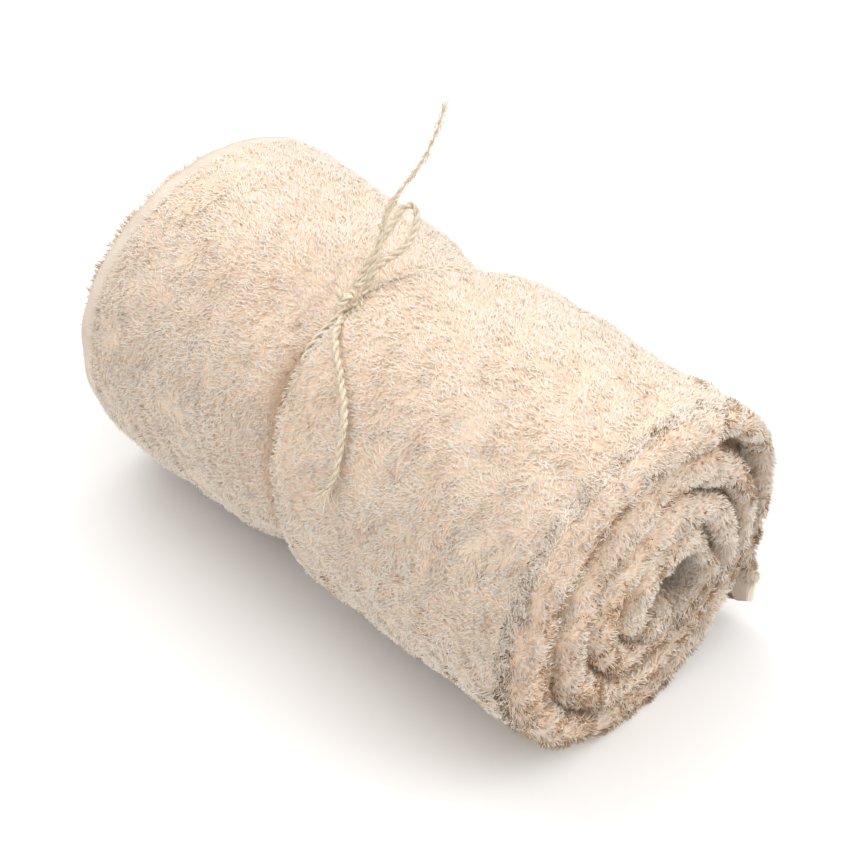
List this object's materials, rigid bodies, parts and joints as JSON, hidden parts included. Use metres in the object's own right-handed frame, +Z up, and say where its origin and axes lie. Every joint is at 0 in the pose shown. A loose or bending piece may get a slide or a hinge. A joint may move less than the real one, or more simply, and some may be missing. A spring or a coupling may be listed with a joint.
{
  "type": "rolled bath towel",
  "caption": "Terry bath towel folded lengthwise, rolled up and tied at the waist with jute twine in a small bow, resting on its side",
  "frame": {"origin": "bottom centre of the roll, on the surface that it rests on", "axes": "+X along the roll, from the open hemmed end to the folded end; +Z up; the front, with the twine's hanging end, faces -Y"},
  "size_m": [0.3442, 0.1978, 0.2731],
  "materials": {
    "terry": "undyed cream cotton terry, long soft pile on both sides",
    "jute": "pale straw two-ply jute twine, slightly hairy"
  },
  "bodies": {
    "root": {"towel_roll": "terry", "towel_loose_end": "terry", "twine_wrap_far": "jute", "twine_wrap_near": "jute", "twine_knot": "jute", "twine_bow_loop": "jute", "twine_end_up": "jute", "twine_end_hanging": "jute"}
  },
  "joints": []
}
